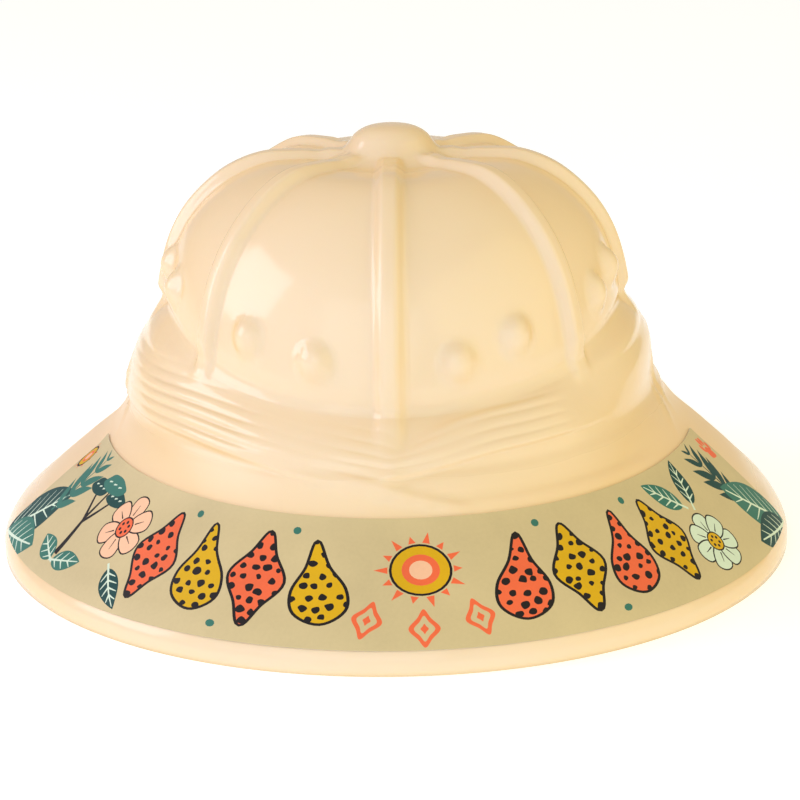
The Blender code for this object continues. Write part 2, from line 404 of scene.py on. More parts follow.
def rib_relief(turn, radius):
    """Rounded ribs from the button down, which grow a little on their way."""
    off = np.remainder(turn + RIB_PITCH / 2, RIB_PITCH) - RIB_PITCH / 2
    across = np.abs(radius * np.sin(off)) / RIB_HALF_WIDTH
    low = smooth_step(*RIB_GROWTH, radius / BUTTON_RADIUS)
    height = RIB_HEIGHT_AT_TOP + (RIB_HEIGHT - RIB_HEIGHT_AT_TOP) * low
    return height * (1 - smooth_step(RIB_FLAT, 1.0, across)) * (1 - RIB_BULGE * across ** 2)


def vent_relief(turn, height):
    """Domes in the sheet, in pairs between the ribs."""
    folded = np.where(np.cos(turn) > 0, turn, np.sign(turn) * math.pi - turn)
    foot = oval(turn, CROWN_WIDTH, CROWN_LENGTH)
    span = CROWN_TOP - band_top(turn)
    rise = (height - band_top(turn)) / span
    relief = 0 * height
    for vent in VENTS:
        across = foot * (folded - math.radians(vent.turn))
        off = np.hypot(across, span * (rise - vent.rise)) / VENT_RADIUS
        relief = relief + VENT_HEIGHT * np.log1p(np.exp(VENT_SHARPNESS * (1 - off ** 2))) / VENT_SHARPNESS
    return relief


def pleats(over, first, pitch):
    """Flat pleats with narrow grooves between them, by the height over a wrap's edge.

    The lowest pleat has its own height. The value is nearly 1 on a pleat and 0 in a groove.
    """
    order = np.where(over < first, over / first, 1 + (over - first) / pitch)
    off = np.abs(order - np.round(order)) * np.where(over < first * LOW_SHARE, first, pitch)
    share = order - np.floor(order)
    groove = np.exp(-(off / GROOVE_HALF_WIDTH) ** 2)
    return (1 - groove) * (1 - PLEAT_ROUNDING * np.abs(2 * share - 1) ** 3)


def crease_relief(turn, radius, height):
    """The small upright folds at the band's sides."""
    relief = 0 * height
    for crease in CREASES:
        middle = np.radians(crease.turn + crease.lean * (height - crease.height))
        across = radius * (turn - middle) / CREASE_HALF_WIDTH
        along = (height - crease.height) / CREASE_HALF_LENGTH
        relief = relief + crease.rise * np.exp(-across ** 2 - along ** 2)
    return relief


def wrap_relief(turn, height):
    """The band's two wraps: the +X one lies over the other, whose tail runs out below it."""
    over = height - line_height(LEFT_EDGE, turn)
    below_top = 1 - smooth_step(*BAND_TOP_FADE, height - band_top(turn))
    above_tail = smooth_step(-EDGE_SOFTNESS, EDGE_SOFTNESS, height - line_height(LEFT_TAIL_TOP, turn))
    bare = 1 - by_degrees(LEFT_TAIL, turn) * above_tail
    layer = smooth_step(-STEP_SOFTNESS, STEP_SOFTNESS, over) * by_degrees(LEFT_LAYER, turn)
    cords = pleats(np.maximum(over, 0), LOW_PLEAT, PLEAT) * by_degrees(LEFT_PLEATS, turn)
    left = (LAYER + PLEAT_DEPTH * cords) * layer * bare * below_top

    over = height - line_height(RIGHT_EDGE, turn)
    reach = RIGHT_WRAP * by_degrees(RIGHT_SHARE, turn)
    inside = smooth_step(-EDGE_SOFTNESS, EDGE_SOFTNESS, over)
    inside = inside * (1 - smooth_step(*RIGHT_TOP_FADE, over - reach))
    cords = pleats(np.maximum(over, 0), RIGHT_PLEAT, RIGHT_PLEAT) * by_degrees(RIGHT_PLEATS, turn)
    right = (RIGHT_LAYER_DEPTH * by_degrees(RIGHT_LAYER, turn) + RIGHT_PLEAT_DEPTH * cords) * inside
    return left + right


def root_bead(turn, height):
    """A low fillet just above the card, where the band's root is formed over."""
    share = by_degrees(ROOT_BEAD_SHARE, turn)
    return ROOT_BEAD * share * np.exp(-((height - ROOT_BEAD_HEIGHT) / ROOT_BEAD_REACH) ** 2)


def foot_fill(turn, height):
    """The fillet at the crown's foot, which is fuller at the sides."""
    at_side = smooth_step(*FOOT_FILL_SINES, np.abs(np.sin(turn)))
    off = (height - band_top(turn) - FOOT_FILL_OVER_BAND) / FOOT_FILL_REACH
    return FOOT_FILL * at_side * np.exp(-off ** 2)


def side_sink(turn, height):
    """How far the band's +X side lies in."""
    at_side = smooth_step(*SIDE_SINK_SINES, np.sin(turn))
    return SIDE_SINK * at_side * np.exp(-((height - SIDE_SINK_HEIGHT) / SIDE_SINK_REACH) ** 2)


def unevenness(turn, height):
    """The slow waviness of a thin formed sheet."""
    wave = 0 * height
    for strength, count, climb, phase in WAVES:
        wave = wave + strength * np.sin(count * turn + climb * height + phase)
    return WAVINESS * wave


def relief_of(turn, radius, height):
    """How far the sheet stands out of the plain hat."""
    beyond_button = smooth_step(*RIB_START, radius / BUTTON_RADIUS)
    at_front = smooth_step(*FRONT_RIB_COSINES, np.cos(turn))
    low, high = (side + (front - side) * at_front for side, front in zip(RIB_FADE, FRONT_RIB_FADE))
    over_band = smooth_step(low, high, height - band_top(turn))
    relief = rib_relief(turn, radius) * beyond_button * over_band + vent_relief(turn, height)
    relief = relief + wrap_relief(turn, height) + crease_relief(turn, radius, height)
    relief = relief + root_bead(turn, height) + foot_fill(turn, height) - side_sink(turn, height)
    off_ends = smooth_step(*CALM_HEIGHTS, height) * smooth_step(*CALM_RADII, radius)
    return relief + unevenness(turn, height) * off_ends


def eased(values):
    """Rows of values, averaged with their neighbours again and again."""
    for _ in range(SLOPE_PASSES):
        values = np.concatenate([values[:1], (values[:-2] + 2 * values[1:-1] + values[2:]) / 4, values[-1:]])
    return values


def skin(turn, rows):
    """Radius and height of the hat's outer skin, as rows of columns."""
    radius, height = profile(turn, rows)
    relief = relief_of(turn, radius, height)
    lean_r = eased(-np.gradient(height, axis=0))
    lean_z = eased(np.gradient(radius, axis=0))
    size = np.hypot(lean_r, lean_z)
    radius = radius + relief * lean_r / size
    height = height + relief * lean_z / size
    height[-1] = 0.0
    return radius, height


def on_hat(turn, radius, height):
    return np.stack([radius * np.sin(turn), -radius * np.cos(turn), height], axis=-1)


def point_normals(points):
    """Outward normals of a closed round of rows."""
    along = np.gradient(points, axis=0)
    around = np.roll(points, -1, axis=1) - np.roll(points, 1, axis=1)
    normals = np.cross(along, around)
    normals[0] = (0, 0, 1)
    return normals / np.linalg.norm(normals, axis=-1, keepdims=True)


def skin_faces(rows, columns, start, inward):
    """A fan from the pole at start and then quads between the rows of one skin."""
    first = start + 1 + np.arange(columns)
    after = np.roll(first, -1)
    fan = np.stack([np.full(columns, start), first, after], axis=-1)
    row, column = np.meshgrid(np.arange(rows - 1), np.arange(columns), indexing="ij")
    ahead = (column + 1) % columns
    upper = start + 1 + row * columns
    lower = upper + columns
    quads = np.stack([upper + column, lower + column, lower + ahead, upper + ahead], axis=-1)
    found = [tuple(face) for face in fan.tolist()] + [tuple(face) for face in quads.reshape(-1, 4).tolist()]
    return [face[::-1] for face in found] if inward else found


def as_vertices(points):
    """One vertex for the pole, and then the other rows."""
    return np.concatenate([points[0, :1], points[1:].reshape(-1, 3)])


def new_object(name, points, faces):
    mesh = bpy.data.meshes.new(name)
    mesh.from_pydata(np.asarray(points).tolist(), [], faces)
    mesh.shade_smooth()
    made = bpy.data.objects.new(name, mesh)
    bpy.context.scene.collection.objects.link(made)
    return made


def make_shell():
    """The formed sheet: an outer skin, a coarser inner one a wall inside it, and the lip's cut edge."""
    turn = turns_around()
    outer = on_hat(turn, *skin(turn, OUTER_ROWS))
    normals = point_normals(outer)
    normals[-1, :, 2] = 0.0
    inner = (outer - WALL * normals)[inner_rows()]
    columns = len(turn)
    start = 1 + (len(outer) - 1) * columns
    end = start + 1 + (len(inner) - 1) * columns
    faces = skin_faces(len(outer) - 1, columns, 0, inward=False)
    faces += skin_faces(len(inner) - 1, columns, start, inward=True)
    for column in range(columns):
        after = (column + 1) % columns
        outside = (start - columns + column, start - columns + after)
        inside = (end - columns + column, end - columns + after)
        faces.append((outside[0], inside[0], inside[1], outside[1]))
    return new_object("hat_shell", np.concatenate([as_vertices(outer), as_vertices(inner)]), faces)


# The card, which is laid on a grid of the brim's radius, in degrees and heights.

GRID_MARGIN = 2
GRID_STEP = 0.5
GRID_HEIGHTS = (0.0040, 0.0400, 0.00025)
GRID_BRIM_ROWS = 120
SHARP_ANGLE = math.radians(40)


def brim_grid():
    """The turns and heights of the grid, and the radius of the brim's outer skin there."""
    limit = CARD_DEGREES + GRID_MARGIN
    turns = np.radians(np.arange(-limit, limit + GRID_STEP / 2, GRID_STEP))
    heights = np.arange(*GRID_HEIGHTS)
    radius, height = skin(turns, {**OUTER_ROWS, "brim": GRID_BRIM_ROWS})
    columns = [np.interp(heights, height[::-1, at], radius[::-1, at]) for at in range(len(turns))]
    return turns, heights, np.array(columns)


def read_grid(grid, turns, heights, turn, height):
    """Values of a grid between its lines."""
    across = (turn - turns[0]) / (turns[1] - turns[0])
    up = (height - heights[0]) / (heights[1] - heights[0])
    column = np.clip(across.astype(int), 0, len(turns) - 2)
    row = np.clip(up.astype(int), 0, len(heights) - 2)
    across, up = across - column, up - row
    low = grid[column, row] * (1 - across) + grid[column + 1, row] * across
    high = grid[column, row + 1] * (1 - across) + grid[column + 1, row + 1] * across
    return low * (1 - up) + high * up


def on_brim(brim, turn, height, off):
    """Points this far off the brim's outer skin, which brim_grid gives."""
    turns, heights, radii = brim
    radius = read_grid(radii, turns, heights, turn, height)
    run = -read_grid(np.gradient(radii, heights, axis=1), turns, heights, turn, height)
    size = np.hypot(run, 1.0)
    return on_hat(turn, radius + off / size, height + off * run / size)


# The card's print, drawn flat in millimetres: along the card from its middle, and up from its foot.

PRINT_LENGTH = 316.0
PRINT_HEIGHT = 43.0
BORDER = 0.85
FINE_BORDER = 0.5

# The spacing of points inside the print and along its edge, and how close two points are to be one.
PRINT_GRID = 2.4
PRINT_GRID_MARGIN = 0.5
EDGE_STEP = 2.0
MERGED = 1e-4

INKS = {
    "ground": (0.640, 0.545, 0.310),
    "teal": (0.040, 0.190, 0.150),
    "deep_teal": (0.006, 0.062, 0.060),
    "coral": (0.880, 0.160, 0.062),
    "mustard": (0.720, 0.440, 0.008),
    "charcoal": (0.012, 0.010, 0.012),
    "mint": (0.690, 0.850, 0.690),
    "peach": (0.940, 0.580, 0.375),
    "board": (0.780, 0.760, 0.700),
}
Shape = namedtuple("Shape", "ink points within", defaults=(None,))


def bend(points, closed, steps=6):
    """A smooth path through points."""
    points = np.asarray(points, float)
    count = len(points)
    made = []
    for index in range(count if closed else count - 1):
        if closed:
            a, b, c, d = (points[(index + step) % count] for step in (-1, 0, 1, 2))
        else:
            a, b, c, d = (points[min(max(index + step, 0), count - 1)] for step in (-1, 0, 1, 2))
        for share in np.arange(steps) / steps:
            made.append(0.5 * (2 * b + (c - a) * share + (2 * a - 5 * b + 4 * c - d) * share ** 2
                               + (3 * b - a - 3 * c + d) * share ** 3))
    if not closed:
        made.append(points[-1])
    return np.array(made)


def ring(radius, count=18, squash=1.0):
    at = np.linspace(0, 2 * math.pi, count, endpoint=False)
    return np.stack([radius * np.cos(at), radius * squash * np.sin(at)], axis=-1)


def path_sides(points):
    """Unit steps to the left of a path at its points."""
    along = np.gradient(points, axis=0)
    along /= np.linalg.norm(along, axis=-1, keepdims=True)
    return np.stack([-along[:, 1], along[:, 0]], axis=-1)


def stroke(points, width, end=0.35, steps=5):
    """A brush line that thins towards its end."""
    points = bend(points, closed=False, steps=steps)
    half = width / 2 * np.linspace(1, end, len(points))[:, None]
    sides = path_sides(points) * half
    return np.concatenate([points + sides, (points - sides)[::-1]])


def outset(points, by):
    """A closed outline moved outwards."""
    ahead = np.roll(points, -1, axis=0) - points
    behind = points - np.roll(points, 1, axis=0)
    along = ahead / np.linalg.norm(ahead, axis=-1, keepdims=True)
    along = along + behind / np.linalg.norm(behind, axis=-1, keepdims=True)
    along /= np.maximum(np.linalg.norm(along, axis=-1, keepdims=True), 0.5)
    area = np.sum(points[:, 0] * np.roll(points[:, 1], -1) - np.roll(points[:, 0], -1) * points[:, 1])
    side = np.stack([along[:, 1], -along[:, 0]], axis=-1)
    return points + side * by * np.sign(area)


def placed(shapes, x, y, degrees=0.0):
    """Shapes turned and moved to their place."""
    turn = math.radians(degrees)
    matrix = np.array([[math.cos(turn), -math.sin(turn)], [math.sin(turn), math.cos(turn)]])
    return [shape._replace(points=np.asarray(shape.points) @ matrix.T + (x, y)) for shape in shapes]


def outlined(points, ink, border=BORDER):
    return [Shape("charcoal", outset(points, border)), Shape(ink, points)]


def mirrored(along, half):
    """A closed outline along +X, from its half widths at places along it."""
    edge = np.stack([along, half], axis=-1)
    return np.concatenate([edge, (edge * (1, -1))[-2:0:-1]])


def leaf(length, width, ink, vein, pairs):
    """A leaf that points along +X, with its ribs."""
    at = np.linspace(0, 1, 15)
    half = width / 2 * np.sin(math.pi * at ** 0.8) ** 0.85
    half[0] = half[-1] = 0.0
    middle = [(-0.12 * length, 0), (0.4 * length, 0), (0.93 * length, 0)]
    shapes = [
        Shape(ink, mirrored(length * at, half)),
        Shape(vein, stroke(middle, 0.07 * width + 0.35, steps=2)),
    ]
    for index in range(pairs):
        start = 0.12 + 0.70 * index / pairs
        reach = 0.82 * np.interp(min(start + 0.14, 1), at, half)
        for side in (1, -1):
            line = [(start * length, 0), ((start + 0.09) * length, side * reach * 0.6),
                    ((start + 0.15) * length, side * reach)]
            shapes.append(Shape(vein, stroke(line, 0.62, steps=2)))
    return shapes


def frond(length, ink, lean, pairs, size):
    """A curved stalk with narrow leaflets on both sides."""
    stalk = [(0, 0), (length * 0.5, lean * 0.35), (length, lean)]
    line = bend(stalk, closed=False, steps=12)
    shapes = [Shape(ink, stroke(stalk, 1.1))]
    for index in range(pairs):
        share = 0.12 + 0.80 * index / (pairs - 1)
        nearest = round(share * (len(line) - 1))
        ahead = line[min(nearest + 1, len(line) - 1)] - line[nearest - 1]
        heading = math.degrees(math.atan2(ahead[1], ahead[0]))
        grown = size * math.sin(math.pi * (0.25 + 0.68 * share))
        at = np.linspace(0, 1, 8)
        half = 0.15 * grown * np.sin(math.pi * at ** 0.75)
        half[0] = half[-1] = 0.0
        leaflet = [Shape(ink, mirrored(grown * at, half))]
        for side in (1, -1):
            shapes += placed(leaflet, *line[nearest], heading + side * 48)
    return shapes


def spotted(points, ink, seed):
    """An outlined shape with irregular dark spots."""
    draw = np.random.default_rng(seed)
    points = np.asarray(points, float)
    shapes = outlined(points, ink)
    low, high = points.min(axis=0), points.max(axis=0)
    for row, y in enumerate(np.arange(low[1] + 1.2, high[1], 3.5)):
        for x in np.arange(low[0] + 0.6 + (row % 2) * 1.9, high[0], 3.8):
            centre = np.array([x, y]) + draw.uniform(-0.7, 0.7, 2)
            sizes = draw.uniform(0.75, 1.30) * draw.uniform(0.78, 1.2, (7, 1))
            spot = bend(ring(1.0, 7) * sizes, closed=True, steps=3) + centre
            shapes.append(Shape("charcoal", spot, points))
    return shapes


def blossom(radius, petal, heart, petals=6):
    """A flower with rounded petals, a heart and fine strokes."""
    outline = [(0.12, 0), (0.42, 0.27), (0.86, 0.30), (1.0, 0), (0.86, -0.30), (0.42, -0.27)]
    parts = outlined(bend(outline, closed=True, steps=4) * radius, petal, FINE_BORDER)
    parts.append(Shape("charcoal", stroke([(0.40 * radius, 0), (0.74 * radius, 0)], 0.5, steps=2)))
    shapes = []
    for index in range(petals):
        shapes += placed(parts, 0, 0, 360 * index / petals + 90)
    shapes += outlined(ring(0.30 * radius), heart, FINE_BORDER)
    for index in range(6):
        at = math.radians(60 * index + 30)
        spot = ring(0.055 * radius, 8) + (0.17 * radius * math.cos(at), 0.17 * radius * math.sin(at))
        shapes.append(Shape("charcoal", spot))
    return shapes


def sunburst(radius, rays=14):
    """A sun with longer and shorter rays."""
    shapes = []
    for index in range(rays):
        reach = radius * (1.62 if index % 2 else 1.45)
        ray = np.array([(radius * 1.14, -0.14 * radius), (reach, 0), (radius * 1.14, 0.14 * radius)])
        shapes += placed([Shape("coral", ray)], 0, 0, 360 * index / rays)
    shapes += outlined(ring(radius, 28), "mustard", 0.7)
    shapes.append(Shape("coral", ring(radius * 0.66, 24)))
    shapes.append(Shape("peach", ring(radius * 0.40, 20)))
    return shapes


def paw(size, ink):
    """A paw mark: a pad and four toes."""
    pad = [(0, -0.42), (0.34, -0.36), (0.30, -0.02), (0, 0.14), (-0.30, -0.02), (-0.34, -0.36)]
    shapes = [Shape(ink, bend(pad, closed=True, steps=4) * size)]
    for x, y, lean in ((-0.42, 0.12, 25), (-0.16, 0.40, 8), (0.16, 0.40, -8), (0.42, 0.12, -25)):
        shapes += placed([Shape(ink, ring(0.15 * size, 10, 1.45))], x * size, y * size, lean)
    return shapes


def acacia(height):
    """A flat-topped tree on a forked trunk."""
    lines = (
        ([(0, 0), (0.3, 0.25), (-0.2, 0.5)], 2.6),
        ([(-0.2, 0.45), (-3.4, 0.62), (-7.5, 0.80)], 1.5),
        ([(-0.2, 0.48), (0.8, 0.66), (1.2, 0.82)], 1.5),
        ([(0.1, 0.42), (4.2, 0.60), (8.0, 0.78)], 1.5),
    )
    shapes = []
    for line, width in lines:
        shapes.append(Shape("charcoal", stroke([(x, y * height) for x, y in line], width, 0.5)))
    crowns = (
        (-7.5, 0.80, 6.6, 0.42, "deep_teal"),
        (8.0, 0.79, 6.2, 0.42, "deep_teal"),
        (0.6, 0.90, 8.6, 0.36, "teal"),
    )
    for x, y, radius, squash, ink in crowns:
        uneven = 1 + 0.10 * np.cos(np.arange(9) * 2.4)
        cloud = bend(ring(radius, 9, squash) * uneven[:, None], closed=True, steps=4)
        shapes += placed([Shape(ink, cloud)], x, y * height)
        for step in (-0.5, 0.0, 0.5):
            dash = [(x + (step - 0.12) * radius, y * height), (x + (step + 0.12) * radius, y * height + 0.4)]
            shapes.append(Shape("mint", stroke(dash, 0.6, 0.6, 2)))
    return shapes


def diamond(width, height):
    """The outline of a diamond with hollow sides."""
    corners = [
        (0, 0.50), (0.22, 0.27), (0.50, 0), (0.22, -0.27),
        (0, -0.50), (-0.22, -0.27), (-0.50, 0), (-0.22, 0.27),
    ]
    return bend(np.array(corners) * (width, height), closed=True)


def drop(width, height):
    """The outline of a drop that points up."""
    corners = [
        (0, 0.50), (0.20, 0.18), (0.46, -0.10), (0.42, -0.36),
        (0, -0.50), (-0.42, -0.36), (-0.46, -0.10), (-0.20, 0.18),
    ]
    return bend(np.array(corners) * (width, height), closed=True)


def gem(width, height):
    """A small diamond in outline, with a heart of the same ink."""
    outer = diamond(width, height)
    return [Shape("coral", outer), Shape("ground", outer * 0.66), Shape("coral", outer * 0.26)]


def print_shapes():
    """The whole print, from the lowest layer up."""
    made = [Shape("ground", edge_of_print())]

    # Left end.
    made += placed(leaf(37, 22, "deep_teal", "mint", 6), -158, -1, 47)
    made += placed(leaf(30, 16, "teal", "mint", 5), -157, 0, 12)
    made += placed(frond(23, "teal", 4, 5, 13), -137, 17, 70)
    made += placed(acacia(29), -112, 9)
    made += placed(leaf(14, 7, "teal", "mint", 3), -112, 7, 160)
    made += placed(leaf(14, 7, "teal", "mint", 3), -111, 7, 16)
    made += placed(blossom(10.5, "peach", "coral"), -89, 26)
    made += placed(leaf(15, 7, "deep_teal", "mint", 4), -84, 13, -50)
    made += placed(sunburst(3.6, 10), -154, 34)

    # Spotted forms, with small outlined ones between them.
    forms = (
        (-70, 21.5, -7, diamond(15.5, 29), "coral"),
        (-52.5, 22.0, 5, drop(14.5, 27), "mustard"),
        (-35.5, 21.0, -3, diamond(15.5, 30), "coral"),
        (-18.5, 21.5, 8, drop(14.5, 26), "mustard"),
        (34.5, 21.5, -6, drop(14.5, 27), "coral"),
        (51.5, 21.0, 4, diamond(15.5, 29), "mustard"),
        (69.0, 22.0, -4, drop(14.5, 27), "coral"),
        (86.0, 21.0, 7, diamond(15.5, 29), "mustard"),
    )
    for seed, (x, y, lean, outline, ink) in enumerate(forms):
        made += placed_spotted(outline, ink, seed, x, y, lean)
    made += placed(sunburst(7.6), 8.0, 26.0)
    for x, y, lean in ((-5.5, 10.0, -14), (8.0, 7.2, 0), (21.5, 10.0, 14)):
        made += placed(gem(7.5, 12.5), x, y, lean)
    for x, y in ((-61.5, 37.5), (-44, 5.0), (-27, 37.5), (43, 37.5), (60.5, 5.0), (77.5, 37.5)):
        made += placed([Shape("teal", ring(1.25, 10))], x, y)

    # Right end.
    made += placed(blossom(10.0, "mint", "mustard", 7), 105, 14)
    made += placed(leaf(17, 8, "teal", "mint", 4), 103, 28, 138)
    made += placed(leaf(17, 8, "deep_teal", "mint", 4), 108, 27, 62)
    made += placed(frond(23, "deep_teal", -4, 5, 13), 138, 17, 110)
    made += placed(leaf(37, 21, "teal", "mint", 6), 158, -1, 134)
    made += placed(leaf(30, 15, "deep_teal", "mint", 5), 157, 0, 170)
    made += placed(paw(8.0, "coral"), 152, 35, -8)
    return made


def placed_spotted(outline, ink, seed, x, y, lean):
    """A spotted form in its place, with its spots kept inside it."""
    made = []
    for shape in placed(spotted(outline, ink, seed), x, y, lean):
        if shape.within is not None:
            held = placed([Shape(ink, shape.within)], x, y, lean)[0].points
            shape = shape._replace(within=held)
        made.append(shape)
    return made


def edge_of_print():
    """The card's outline as closely spaced points."""
    half = PRINT_LENGTH / 2
    across = np.arange(-half, half, EDGE_STEP)
    up = np.arange(0, PRINT_HEIGHT, EDGE_STEP)
    return np.concatenate([
        np.stack([across, 0 * across], axis=-1),
        np.stack([0 * up + half, up], axis=-1),
        np.stack([-across, 0 * across + PRINT_HEIGHT], axis=-1),
        np.stack([0 * up - half, PRINT_HEIGHT - up], axis=-1),
    ])


def inside(points, outline):
    """Which points lie inside a closed outline."""
    x, y = points[:, :1], points[:, 1:]
    start, end = outline, np.roll(outline, -1, axis=0)
    crosses = (start[:, 1] > y) != (end[:, 1] > y)
    with np.errstate(divide="ignore", invalid="ignore"):
        at = start[:, 0] + (y - start[:, 1]) * (end[:, 0] - start[:, 0]) / (end[:, 1] - start[:, 1])
    return (np.sum(crosses & (x < at), axis=1) % 2).astype(bool)


def cut_print():
    """The print as triangles of the card, each with the ink that lies on top there."""
    shapes = print_shapes()
    points = []
    outlines = []
    for shape in shapes:
        outlines.append(list(range(len(points), len(points) + len(shape.points))))
        points += [Vector(point) for point in np.asarray(shape.points).tolist()]
    across = np.arange(-PRINT_LENGTH / 2 + PRINT_GRID, PRINT_LENGTH / 2, PRINT_GRID)
    up = np.arange(PRINT_GRID, PRINT_HEIGHT - PRINT_GRID_MARGIN, PRINT_GRID)
    points += [Vector((x, y)) for y in up for x in across]
    found, _, faces, _, _, _ = delaunay_2d_cdt(points, [], outlines, 0, MERGED)
    found = np.array([tuple(point) for point in found])
    faces = np.array([tuple(face) for face in faces])
    middles = found[faces].mean(axis=1)
    kept = inside(middles, np.asarray(shapes[0].points))
    faces, middles = faces[kept], middles[kept]
    inks = list(INKS)
    chosen = np.zeros(len(faces), int)
    for shape in shapes:
        outline = np.asarray(shape.points)
        near = np.all((middles > outline.min(axis=0)) & (middles < outline.max(axis=0)), axis=1).nonzero()[0]
        near = near[inside(middles[near], outline)]
        if shape.within is not None:
            near = near[inside(middles[near], shape.within)]
        chosen[near] = inks.index(shape.ink)
    return found, faces, chosen


def make_card():
    """The printed card: a thin sheet that follows the brim, with its print on the front."""
    flat, triangles, inks = cut_print()
    used = np.unique(triangles)
    place = np.zeros(len(flat), int)
    place[used] = np.arange(len(used))
    flat, triangles = flat[used], place[triangles]
    turn = flat[:, 0] / (PRINT_LENGTH / 2) * CARD_HALF_TURN
    height = CARD_FOOT_HEIGHT + (CARD_TOP_HEIGHT - CARD_FOOT_HEIGHT) * flat[:, 1] / PRINT_HEIGHT
    brim = brim_grid()
    back = on_brim(brim, turn, height, CARD_CLEARANCE)
    front = on_brim(brim, turn, height, CARD_CLEARANCE + CARD_THICKNESS)
    count = len(flat)
    sides = {}
    for a, b, c in triangles.tolist():
        for edge in ((a, b), (b, c), (c, a)):
            sides[edge] = True
    faces = triangles.tolist() + (triangles[:, ::-1] + count).tolist()
    faces += [(b, a, a + count, b + count) for a, b in sides if (b, a) not in sides]
    card = new_object("printed_card", np.concatenate([front, back]), faces)
    for name, colour in INKS.items():
        card.data.materials.append(ink_material("ink_" + name, colour))
    board = list(INKS).index("board")
    slots = np.full(len(faces), board)
    slots[:len(inks)] = inks
    card.data.polygons.foreach_set("material_index", slots.astype(np.int32))
    card.data.set_sharp_from_angle(angle=SHARP_ANGLE)
    return card


# Materials. The plastic's colours run from where it is seen square on to where it is seen edge on. The deeper
# edge-on colours are partly the thin sheet's own deeper tone and partly painted shade for the sides turned
# away from the light.

# The later, deeper colours are partly painted shade for the sides turned away from the light.
PLASTIC_AND_EDGE_SHADE_COLOURS = ((0.92, 0.765, 0.585), (0.915, 0.735, 0.50), (0.88, 0.66, 0.37), (0.88, 0.66, 0.40))
PLASTIC_ROUGHNESS = (0.09, 0.16)

# Near the brim's root the sheet is duller, and darker in colour as painted shade under the band, by shares at
# even steps of height.
ROOT_RANGE = (0.0, 0.072)
ROOT_DULL_AND_SHADE_SHARES = tuple((share,) * 3 for share in (0.0, 0.2, 0.9, 1.0, 0.2, 0.0, 0.0))
ROOT_DULLNESS = 0.36
# How much the painted shade at the brim's root deepens the colour.
ROOT_PAINTED_SHADE = 0.28


def principled(name, colour, roughness):
    made = bpy.data.materials.new(name)
    made.use_nodes = True
    shader = made.node_tree.nodes["Principled BSDF"]
    shader.inputs["Base Color"].default_value = (*colour, 1.0)
    shader.inputs["Roughness"].default_value = roughness
    return made, shader


def noise(tree, scale, detail=2.0):
    place = tree.nodes.new("ShaderNodeTexCoord")
    made = tree.nodes.new("ShaderNodeTexNoise")
    made.inputs["Scale"].default_value = scale
    made.inputs["Detail"].default_value = detail
    tree.links.new(place.outputs["Object"], made.inputs["Vector"])
    return made.outputs["Fac"]


def height_of(tree):
    place = tree.nodes.new("ShaderNodeTexCoord")
    parts = tree.nodes.new("ShaderNodeSeparateXYZ")
    tree.links.new(place.outputs["Object"], parts.inputs["Vector"])
    return parts.outputs["Z"]


def math_node(tree, operation, first, second):
    made = tree.nodes.new("ShaderNodeMath")
    made.operation = operation
    for socket, value in zip(made.inputs, (first, second)):
        if isinstance(value, float):
            socket.default_value = value
        else:
            tree.links.new(value, socket)
    return made.outputs["Value"]


def ramp(tree, value, low, high, colours):
    """Colours spread evenly over a value's range."""
    spread = tree.nodes.new("ShaderNodeMapRange")
    spread.inputs["From Min"].default_value = low
    spread.inputs["From Max"].default_value = high
    tree.links.new(value, spread.inputs["Value"])
    made = tree.nodes.new("ShaderNodeValToRGB")
    stops = made.color_ramp.elements
    while len(stops) < len(colours):
        stops.new(0.5)
    for index, colour in enumerate(colours):
        stops[index].position = index / (len(colours) - 1)
        stops[index].color = (*colour, 1.0)
    tree.links.new(spread.outputs["Result"], made.inputs["Fac"])
    return made.outputs["Color"]


def bump(tree, shader, height, strength, distance):
    made = tree.nodes.new("ShaderNodeBump")
    made.inputs["Strength"].default_value = strength
    made.inputs["Distance"].default_value = distance
    tree.links.new(height, made.inputs["Height"])
    tree.links.new(made.outputs["Normal"], shader.inputs["Normal"])


def cream_plastic():
    """Thin glossy sheet, faintly mottled and wavy; its deeper colour edge on is partly its own tone and
    partly painted shade, and the darker colour at the brim's root is painted shade.
    """
    made, shader = principled("cream_plastic", PLASTIC_AND_EDGE_SHADE_COLOURS[0], PLASTIC_ROUGHNESS[1])
    tree = made.node_tree
    # Seen edge on, the colour deepens: partly the sheet's own tone, partly painted shade.
    edge = tree.nodes.new("ShaderNodeLayerWeight")
    edge.inputs["Blend"].default_value = 0.35
    mottled = math_node(tree, "MULTIPLY", noise(tree, scale=22.0), 0.18)
    # The root mask: rougher there, and darker in colour as painted shade under the band.
    root = ramp(tree, height_of(tree), *ROOT_RANGE, ROOT_DULL_AND_SHADE_SHARES)
    tint_and_painted_shade = math_node(tree, "ADD", edge.outputs["Facing"], mottled)
    # Painted shade at the brim's root deepens the colour.
    tint_and_painted_shade = math_node(tree, "ADD", tint_and_painted_shade, math_node(tree, "MULTIPLY", root, ROOT_PAINTED_SHADE))
    tree.links.new(ramp(tree, tint_and_painted_shade, 0.05, 0.95, PLASTIC_AND_EDGE_SHADE_COLOURS), shader.inputs["Base Color"])
    gloss = tree.nodes.new("ShaderNodeMapRange")
    gloss.inputs["To Min"].default_value, gloss.inputs["To Max"].default_value = PLASTIC_ROUGHNESS
    tree.links.new(noise(tree, scale=35.0), gloss.inputs["Value"])
    dullness = math_node(tree, "MULTIPLY", root, ROOT_DULLNESS)
    rough = math_node(tree, "ADD", gloss.outputs["Result"], dullness)
    tree.links.new(rough, shader.inputs["Roughness"])
    bump(tree, shader, noise(tree, scale=90.0, detail=3.0), strength=0.15, distance=0.0007)
    shader.inputs["IOR"].default_value = 1.50
    shader.inputs["Subsurface Weight"].default_value = 0.12
    shader.inputs["Subsurface Radius"].default_value = (1.0, 0.6, 0.3)
    shader.inputs["Subsurface Scale"].default_value = 0.002
    return made


